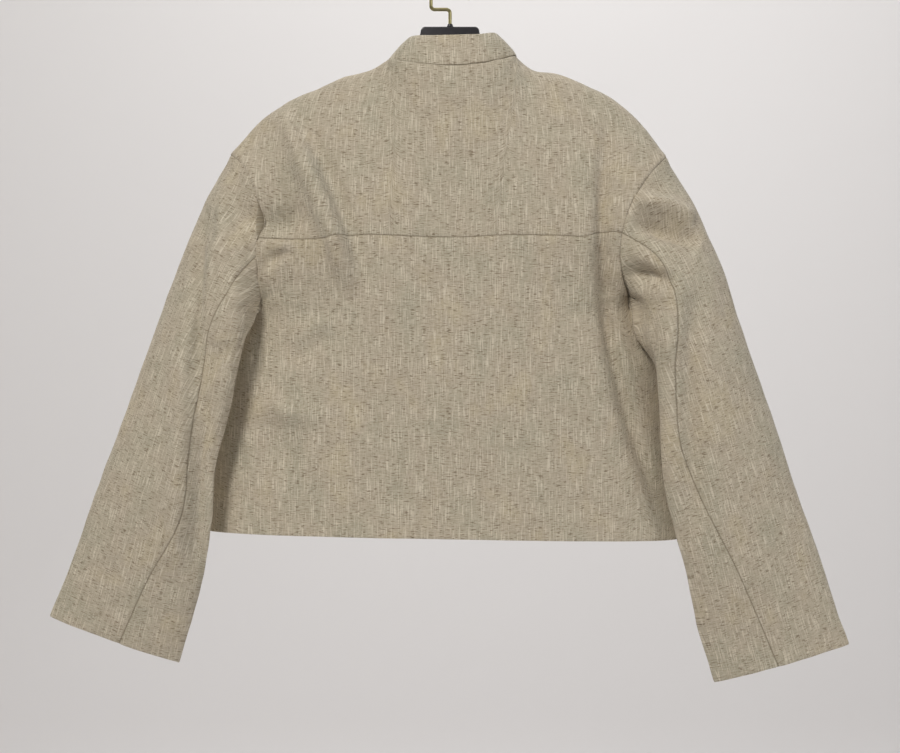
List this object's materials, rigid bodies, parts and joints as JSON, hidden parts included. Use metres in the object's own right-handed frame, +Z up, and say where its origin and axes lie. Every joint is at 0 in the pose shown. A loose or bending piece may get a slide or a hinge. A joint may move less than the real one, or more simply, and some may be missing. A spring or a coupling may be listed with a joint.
{
  "type": "stand collar jacket on a clothes hanger",
  "caption": "Cropped boxy jacket of firm linen cloth with a stand collar, a back yoke and wide two-piece sleeves, closed and hanging on a plain plastic hanger with a wire hook.",
  "frame": {"origin": "the point of the hook's wire that rests on a rail, on the wire's underside at the top of its bend", "axes": "+Z up, +X towards the wearer's right, +Y towards the jacket's front, so its back faces -Y"},
  "size_m": [0.8805, 0.1135, 0.7791],
  "materials": {
    "cloth": "matt slubbed linen weave, warm grey-beige",
    "button": "satin horn brown",
    "hanger": "satin black",
    "hook": "polished pale brass plating"
  },
  "bodies": {
    "root": {"back_yoke": "cloth", "lower_back": "cloth", "front_left": "cloth", "front_right": "cloth", "collar": "cloth", "top_sleeve_left": "cloth", "under_sleeve_left": "cloth", "top_sleeve_right": "cloth", "under_sleeve_right": "cloth", "button_1": "button", "button_2": "button", "button_3": "button", "button_4": "button", "button_5": "button", "button_6": "button", "hanger_body": "hanger", "hook_boss": "hanger", "hook_wire": "hook"}
  },
  "joints": []
}
